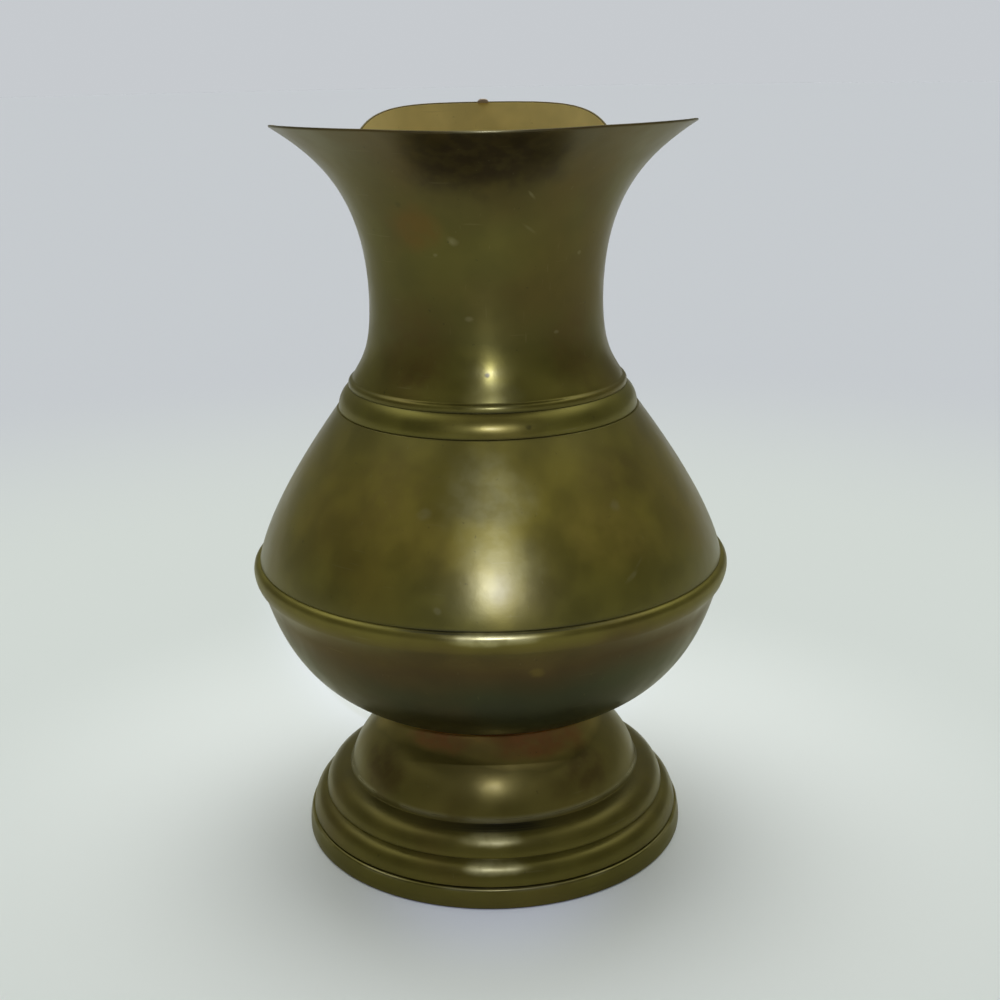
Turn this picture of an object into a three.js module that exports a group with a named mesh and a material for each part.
// A jug vase in brass, about a hand and a half tall. Sheet and turned parts are brazed
// together on one axis: a pedestal foot with a band round its hem, a short stem, a round
// bowl, a sloping shoulder that drops into the bowl's beaded rim, a bead ring, and a neck
// that opens into a wide lip at the front and sides with a narrow raised back.
// Millimetres, +Z up, the origin on the table at the middle of the foot. The front of the
// vase looks towards -Y.
import * as THREE from "three";

// Fits and sheet thicknesses
const AROUND = 48; // facets round every ring
const BRAZE_GAP = 0.3; // space left for braze between two fitted pieces
const NECK_WALL = 1.2;
const SHOULDER_WALL = 1.4;
const BOWL_WALL = 1.5;
const FOOT_WALL = 1.6;

// Heights of the joints above the table, and of the pieces between them
const BAND_TOP = 6.2;
const FOOT_TOP = 36.3;
const STEM_HEIGHT = 3.7;
const BELLY_SEAM = 83.3;
const BEAD_SEAT = 125.1;
const BEAD_HEIGHT = 6.1;

// Pedestal foot
const BAND_RADIUS = 54.6;
const BAND_THICKNESS = 1.8;
const BAND_ROUNDING = 0.3;
const LOWER_STEP_RADIUS = 53.3; // foot of the lower rounded step
const LOWER_GROOVE_RADIUS = 49.3;
const LOWER_GROOVE_HEIGHT = 11.7;
const UPPER_GROOVE_RADIUS = 42;
const UPPER_GROOVE_HEIGHT = 17.3;
const STEP_ROUNDING = 0.7;
const DOME_RADIUS = 41.6;
const DOME_EDGE_HEIGHT = 19.4;
const GROOVE_DEPTH = 0.5;
const GROOVE_HALF_WIDTH = 0.3;
const FOOT_SEAT_RADIUS = 25; // flat top that the stem stands on
const FOOT_BORE_RADIUS = 17.5;

// Stem
const STEM_RADIUS = 23.6;
const STEM_WAIST = 0.7; // how far the stem draws in at half height
const STEM_FILLET = 1.9; // width of the braze in the stem's corners
const STEM_FILLET_HEIGHT = 1.5;

// Shoulder
const SHOULDER_TOP_RADIUS = 41.4;
const SHOULDER_EDGE_RADIUS = 64.6;
const SHOULDER_SPIGOT_DEPTH = 5.5;
const BELLY_FILLET = 1.8; // width of the braze under the shoulder's spigot
const BELLY_FILLET_HEIGHT = 1.1;

// Bowl
const BOWL_SEAT_RADIUS = 24.5; // flat under the bowl, on the stem
const BELLY_BEAD_PROUD = 1.8; // how far the bead stands out past the shoulder
const BELLY_BEAD_RADIUS = SHOULDER_EDGE_RADIUS + BELLY_BEAD_PROUD;
const BELLY_BEAD_HEIGHT = 8;
const BELLY_CREASE = 0.2; // how far it still stands out at the seam
const BELLY_TUCK = 0.7; // how far the bowl draws in under the bead
const BOWL_RIM_RADIUS = SHOULDER_EDGE_RADIUS - BELLY_TUCK;

// Neck, bead ring and mouth
const SPIGOT_RADIUS = 34.4;
const SPIGOT_PROUD = 4.2; // how far the neck's spigot stands through the shoulder's lip
const NECK_FILLET = 2.6; // width and height of the braze round that spigot
const BEAD_BOTTOM_RADIUS = 40.9;
const BEAD_TOP_RADIUS = 38;
const BEAD_FULLNESS = 0.62; // share of the bead's height at which it turns in
const FLANGE_HEIGHT = 2.2;
const NECK_FOOT_RADIUS = 36.9;
const WAIST_RADIUS = 31.5;
const WAIST_HEIGHT = 154;
const LIP_RADIUS = 56.3;
const LIP_HEIGHT = 200.55; // between the front and each side
const LIP_DIP = 0.4; // how far the pouring edge dips at the very front
const DIP_SPREAD = 30; // degrees from the front to the end of that dip
const SIDE_DROOP = 1.4; // how far the lip falls towards each side
const DROOP_POWER = 4; // higher keeps the lip level for longer before it falls
const BACK_RADIUS = 36;
const BACK_HEIGHT = 203.3;
const BACK_SPREAD = 70; // degrees from the back to the notch beside the raised part
const BACK_POWER = 4.5; // higher keeps the raised part flat for longer before it falls
const NOTCH_HEIGHT = 195.8;
const NOTCH_SPREAD = 20; // degrees from the notch to the full height of the lip
const NOTCH_LEAD = 10; // degrees before the notch at which the lip starts to open out
const NIB_LENGTH = 3.2;
const NIB_HEIGHT = 0.5;

// How full each curve is. Its two arms are shares of the way across and up that it covers.
const DOME_SHAPE = { leave: [0.23, 0.61], arrive: [0.06, 0.1] };
const BOWL_SHAPE = { leave: [0.457, 0.054], arrive: [0.168, 0.708] };
const SHOULDER_SHAPE = { leave: [0.142, 0.361], arrive: [0.125, 0.098] };
const LOWER_NECK_SHAPE = { leave: [0.37, 0.194], arrive: [0, 0.675] };
const BACK_SHAPE = { leave: [0, 0.487], arrive: [0.267, 0.243] };
const FLARE_SHAPE = { leave: [0, 0.602], arrive: [0.512, 0.172] };

const stemTop = FOOT_TOP + STEM_HEIGHT;
const beadTop = BEAD_SEAT + BEAD_HEIGHT;
const neckFoot = beadTop + FLANGE_HEIGHT;
const bellySocket = SHOULDER_EDGE_RADIUS - SHOULDER_WALL;
const bellySpigot = bellySocket - BRAZE_GAP;
const neckSocket = SPIGOT_RADIUS + BRAZE_GAP;
const { lerp, smoothstep, degToRad } = THREE.MathUtils;

function point(radius, height) {
  return new THREE.Vector2(radius, height);
}

// Points along a cubic curve between two points, as full as its shape says.
function sweep(start, shape, end, steps) {
  const across = end.x - start.x;
  const up = end.y - start.y;
  const [leaveAcross, leaveUp] = shape.leave;
  const [arriveAcross, arriveUp] = shape.arrive;
  const control = point(start.x + across * leaveAcross, start.y + up * leaveUp);
  const reach = point(end.x - across * arriveAcross, end.y - up * arriveUp);
  return new THREE.CubicBezierCurve(start, control, reach, end).getPoints(steps);
}

// A shape part of the way from one to another.
function between(from, to, share) {
  const mix = (a, b) => a.map((value, index) => lerp(value, b[index], share));
  return { leave: mix(from.leave, to.leave), arrive: mix(from.arrive, to.arrive) };
}

// Points on a rounded moulding between two corners, bulging towards a third point.
function moulding(start, bulge, end, steps) {
  return new THREE.QuadraticBezierCurve(start, bulge, end).getPoints(steps);
}

// The same curve moved sideways by the thickness of the sheet, to its inner face.
function innerFace(points, wall) {
  return points.map((here, index) => {
    const before = points[Math.max(index - 1, 0)];
    const after = points[Math.min(index + 1, points.length - 1)];
    const along = after.clone().sub(before).normalize();
    return point(here.x - along.y * wall, here.y + along.x * wall);
  });
}

function brass(color, roughness) {
  return new THREE.MeshStandardMaterial({ color, roughness, metalness: 1 });
}

// A bowl or drop whose outline starts and ends on the axis.
function turnedOnAxis(name, outline, material) {
  const geometry = new THREE.LatheGeometry(outline, AROUND);
  geometry.rotateX(Math.PI / 2);
  const mesh = new THREE.Mesh(geometry, material);
  mesh.name = name;
  return mesh;
}

// A ring or shell from an outline that runs up its outer side and down its inner side.
function turned(name, outline, material) {
  return turnedOnAxis(name, [...outline, outline[0].clone()], material);
}

const oliveBrass = brass(0x6b6230, 0.42);
const brownBrass = brass(0x5c4f2c, 0.45);
const darkBrass = brass(0x4a4830, 0.45);
const copperBraze = brass(0x8a5232, 0.5);

function footBaseBand() {
  const inner = BAND_RADIUS - BAND_THICKNESS;
  const outline = [
    point(inner, 0),
    point(BAND_RADIUS - BAND_ROUNDING, 0),
    point(BAND_RADIUS, BAND_ROUNDING),
    point(BAND_RADIUS, BAND_TOP / 2),
    point(BAND_RADIUS - 2 * BAND_ROUNDING, BAND_TOP - BAND_ROUNDING),
    point(BAND_RADIUS - 3 * BAND_ROUNDING, BAND_TOP),
    point(inner, BAND_TOP),
  ];
  return turned("foot_base_band", outline, oliveBrass);
}

function footPedestal() {
  const hem = BAND_RADIUS - BAND_THICKNESS - BRAZE_GAP;
  const ledge = BAND_TOP + BRAZE_GAP;
  const lowerStep = moulding(
    point(LOWER_STEP_RADIUS, ledge),
    point(LOWER_STEP_RADIUS - STEP_ROUNDING, LOWER_GROOVE_HEIGHT - STEP_ROUNDING),
    point(LOWER_GROOVE_RADIUS, LOWER_GROOVE_HEIGHT - GROOVE_HALF_WIDTH),
    4,
  );
  const upperStep = moulding(
    point(LOWER_GROOVE_RADIUS, LOWER_GROOVE_HEIGHT + GROOVE_HALF_WIDTH),
    point(LOWER_GROOVE_RADIUS - STEP_ROUNDING, UPPER_GROOVE_HEIGHT + GROOVE_HALF_WIDTH),
    point(UPPER_GROOVE_RADIUS, UPPER_GROOVE_HEIGHT),
    5,
  );
  const domeEdge = point(DOME_RADIUS, DOME_EDGE_HEIGHT);
  const dome = sweep(domeEdge, DOME_SHAPE, point(FOOT_SEAT_RADIUS, FOOT_TOP), 7);
  const outside = [
    point(hem, 0),
    point(hem, ledge),
    ...lowerStep,
    point(LOWER_GROOVE_RADIUS - GROOVE_DEPTH, LOWER_GROOVE_HEIGHT),
    ...upperStep,
    point(DOME_RADIUS - GROOVE_DEPTH, (UPPER_GROOVE_HEIGHT + DOME_EDGE_HEIGHT) / 2),
    ...dome,
  ];
  const underTop = FOOT_TOP - FOOT_WALL;
  const underStep = UPPER_GROOVE_HEIGHT - FOOT_WALL;
  const inside = [
    point(FOOT_BORE_RADIUS, FOOT_TOP),
    point(FOOT_BORE_RADIUS, underTop),
    point(FOOT_SEAT_RADIUS - FOOT_WALL, underTop),
    ...innerFace(dome, FOOT_WALL).reverse().slice(1),
    point(UPPER_GROOVE_RADIUS - FOOT_WALL, underStep),
    point(LOWER_GROOVE_RADIUS - FOOT_WALL - 2 * STEP_ROUNDING, underStep - STEP_ROUNDING),
    point(LOWER_GROOVE_RADIUS - FOOT_WALL, LOWER_GROOVE_HEIGHT - FOOT_WALL),
    point(hem - FOOT_WALL, ledge),
    point(hem - FOOT_WALL, 0),
  ];
  return turned("foot_pedestal", [...outside, ...inside], brownBrass);
}

function stemCollar() {
  const outline = [
    point(FOOT_BORE_RADIUS, FOOT_TOP),
    point(STEM_RADIUS, FOOT_TOP),
    point(STEM_RADIUS - STEM_WAIST, FOOT_TOP + STEM_HEIGHT / 2),
    point(STEM_RADIUS, stemTop),
    point(FOOT_BORE_RADIUS, stemTop),
  ];
  return turned("stem_collar", outline, brownBrass);
}

// Braze drawn into the corner between the stem and the flat that it meets, above the flat
// where away is 1 and below it where away is -1.
function stemBraze(name, flat, away) {
  const inner = STEM_RADIUS + BRAZE_GAP;
  const face = flat + away * BRAZE_GAP;
  const corner = point(inner, face);
  const alongFlat = point(inner + STEM_FILLET, face);
  const alongStem = point(inner, face + away * (STEM_FILLET_HEIGHT - BRAZE_GAP));
  const outline = away > 0 ? [corner, alongFlat, alongStem] : [alongStem, alongFlat, corner];
  return turned(name, outline, copperBraze);
}

// The bead's arms reach out just far enough for its middle to stand at its full radius.
function bellyBead(rim, seam) {
  const middle = (rim.x + seam.x) / 2;
  const arm = BELLY_BEAD_RADIUS + (BELLY_BEAD_RADIUS - middle) / 3;
  const low = point(arm, lerp(rim.y, seam.y, 0.45));
  const high = point(arm, lerp(rim.y, seam.y, 0.95));
  return new THREE.CubicBezierCurve(rim, low, high, seam).getPoints(6);
}

function lowerBowl() {
  const seat = point(BOWL_SEAT_RADIUS, stemTop);
  const rim = point(BOWL_RIM_RADIUS, BELLY_SEAM - BELLY_BEAD_HEIGHT);
  const seam = point(SHOULDER_EDGE_RADIUS + BELLY_CREASE, BELLY_SEAM);
  const curve = sweep(seat, BOWL_SHAPE, rim, 10);
  const outline = [
    point(0, stemTop),
    ...curve,
    ...bellyBead(rim, seam).slice(1),
    point(bellySocket, BELLY_SEAM),
    point(bellySocket, BELLY_SEAM - BELLY_BEAD_HEIGHT + BOWL_WALL),
    ...innerFace(curve, BOWL_WALL).reverse().slice(0, -1),
    point(BOWL_SEAT_RADIUS, stemTop + BOWL_WALL),
    point(0, stemTop + BOWL_WALL),
  ];
  return turnedOnAxis("lower_bowl", outline, darkBrass);
}

function bellyBraze() {
  const top = BELLY_SEAM - SHOULDER_SPIGOT_DEPTH - BRAZE_GAP;
  const outline = [
    point(bellySpigot - BRAZE_GAP, top - BELLY_FILLET_HEIGHT),
    point(bellySpigot, top),
    point(bellySpigot - BELLY_FILLET, top),
  ];
  return turned("belly_braze", outline, copperBraze);
}

function shoulder() {
  const edge = point(SHOULDER_EDGE_RADIUS, BELLY_SEAM);
  const curve = sweep(edge, SHOULDER_SHAPE, point(SHOULDER_TOP_RADIUS, BEAD_SEAT), 10);
  const spigotBottom = BELLY_SEAM - SHOULDER_SPIGOT_DEPTH;
  const underLip = BEAD_SEAT - SHOULDER_WALL;
  const outline = [
    point(bellySpigot - SHOULDER_WALL, spigotBottom),
    point(bellySpigot, spigotBottom),
    point(bellySpigot, BELLY_SEAM),
    ...curve,
    point(neckSocket, BEAD_SEAT),
    point(neckSocket, underLip),
    point(SHOULDER_TOP_RADIUS - SHOULDER_WALL, underLip),
    ...innerFace(curve, SHOULDER_WALL).reverse().slice(1, -1),
  ];
  return turned("shoulder", outline, oliveBrass);
}

function neckBraze() {
  const top = BEAD_SEAT - SHOULDER_WALL - BRAZE_GAP;
  const outline = [
    point(neckSocket, top - NECK_FILLET),
    point(neckSocket + NECK_FILLET, top),
    point(neckSocket, top),
  ];
  return turned("neck_braze", outline, copperBraze);
}

function neckBeadRing() {
  const bulge = point(BEAD_BOTTOM_RADIUS, BEAD_SEAT + BEAD_HEIGHT * BEAD_FULLNESS);
  const face = moulding(point(BEAD_BOTTOM_RADIUS, BEAD_SEAT), bulge, point(BEAD_TOP_RADIUS, beadTop), 6);
  const outline = [point(neckSocket, BEAD_SEAT), ...face, point(neckSocket, beadTop)];
  return turned("neck_bead_ring", outline, oliveBrass);
}

// The edge of the mouth at an angle in degrees from the front of the vase, 0 to 180.
function lipEdge(fromFront) {
  const fromBack = 180 - fromFront;
  const sideAngle = BACK_SPREAD + NOTCH_SPREAD;
  const opening = smoothstep(fromBack, BACK_SPREAD - NOTCH_LEAD, sideAngle);
  const radius = lerp(BACK_RADIUS, LIP_RADIUS, opening);
  if (fromBack < BACK_SPREAD) {
    const fall = (fromBack / BACK_SPREAD) ** BACK_POWER;
    return point(radius, lerp(BACK_HEIGHT, NOTCH_HEIGHT, fall));
  }
  if (fromBack < sideAngle) {
    const rise = smoothstep(fromBack, BACK_SPREAD, sideAngle);
    return point(radius, lerp(NOTCH_HEIGHT, LIP_HEIGHT - SIDE_DROOP, rise));
  }
  const dipTurn = Math.min(fromFront / DIP_SPREAD, 1) * 90;
  const dip = LIP_DIP * Math.cos(degToRad(dipTurn));
  const droop = SIDE_DROOP * (fromFront / (180 - sideAngle)) ** DROOP_POWER;
  return point(radius, LIP_HEIGHT - dip - droop);
}

// The wall of the neck at one angle: its outer face from the flange to the lip, its inner
// face from the lip down, and the crest between the two.
function neckWall(fromFront) {
  const foot = point(NECK_FOOT_RADIUS, neckFoot);
  const waist = point(WAIST_RADIUS, WAIST_HEIGHT);
  const lip = lipEdge(fromFront);
  const flare = (lip.x - BACK_RADIUS) / (LIP_RADIUS - BACK_RADIUS);
  const lower = sweep(foot, LOWER_NECK_SHAPE, waist, 5);
  const upper = sweep(waist, between(BACK_SHAPE, FLARE_SHAPE, flare), lip, 9);
  const outer = [...lower, ...upper.slice(1)];
  const bore = SPIGOT_RADIUS - NECK_WALL;
  const inner = innerFace(outer, NECK_WALL).reverse();
  for (const here of inner) {
    if (here.y < WAIST_HEIGHT) here.x = Math.min(here.x, bore);
  }
  const along = lip.clone().sub(outer[outer.length - 2]).setLength(NECK_WALL / 4);
  const crest = lip.clone().add(inner[0]).multiplyScalar(0.5).add(along);
  return { outer, crest, inner, bore };
}

// The neck's closed outline at one angle. The outer face rises from the spigot to the lip.
function neckOutline(fromFront) {
  const { outer, crest, inner, bore } = neckWall(fromFront);
  const spigotBottom = BEAD_SEAT - SHOULDER_WALL - SPIGOT_PROUD;
  const flange = moulding(
    point(BEAD_TOP_RADIUS, beadTop),
    point(BEAD_TOP_RADIUS, neckFoot),
    point(NECK_FOOT_RADIUS, neckFoot),
    2,
  );
  return [
    point(bore, spigotBottom),
    point(SPIGOT_RADIUS, spigotBottom),
    point(SPIGOT_RADIUS, beadTop),
    ...flange.slice(0, -1),
    ...outer,
    crest,
    ...inner,
  ];
}

function mouthAndNeck() {
  const positions = [];
  const triangles = [];
  const size = neckOutline(0).length;
  for (let step = 0; step < AROUND; step += 1) {
    const turn = (step * 360) / AROUND;
    for (const here of neckOutline(Math.min(turn, 360 - turn))) {
      const east = here.x * Math.sin(degToRad(turn));
      const north = -here.x * Math.cos(degToRad(turn));
      positions.push(east, north, here.y);
    }
    const next = ((step + 1) % AROUND) * size;
    for (let index = 0; index < size; index += 1) {
      const after = (index + 1) % size;
      triangles.push(step * size + index, next + index, next + after);
      triangles.push(step * size + index, next + after, step * size + after);
    }
  }
  const geometry = new THREE.BufferGeometry();
  geometry.setAttribute("position", new THREE.Float32BufferAttribute(positions, 3));
  geometry.setIndex(triangles);
  geometry.computeVertexNormals();
  const mesh = new THREE.Mesh(geometry, oliveBrass);
  mesh.name = "mouth_and_neck";
  return mesh;
}

// A drop of braze left on the middle of the raised back, shaped as a low round cap that is
// stretched along the edge.
function rimNib() {
  const cap = moulding(point(1, 0), point(1, 1), point(0, 1), 4);
  const geometry = new THREE.LatheGeometry([point(0, 0), ...cap], 12);
  geometry.rotateX(Math.PI / 2);
  geometry.scale(NIB_LENGTH / 2, NECK_WALL / 2, NIB_HEIGHT);
  const mesh = new THREE.Mesh(geometry, copperBraze);
  mesh.name = "rim_nib";
  const { crest } = neckWall(180);
  mesh.position.set(0, crest.x, crest.y + BRAZE_GAP);
  return mesh;
}

const jugVase = new THREE.Group();
jugVase.add(footBaseBand());
jugVase.add(footPedestal());
jugVase.add(stemBraze("stem_foot_braze", FOOT_TOP, 1));
jugVase.add(stemCollar());
jugVase.add(stemBraze("stem_bowl_braze", stemTop, -1));
jugVase.add(lowerBowl());
jugVase.add(bellyBraze());
jugVase.add(shoulder());
jugVase.add(neckBraze());
jugVase.add(neckBeadRing());
jugVase.add(mouthAndNeck());
jugVase.add(rimNib());

export default jugVase;
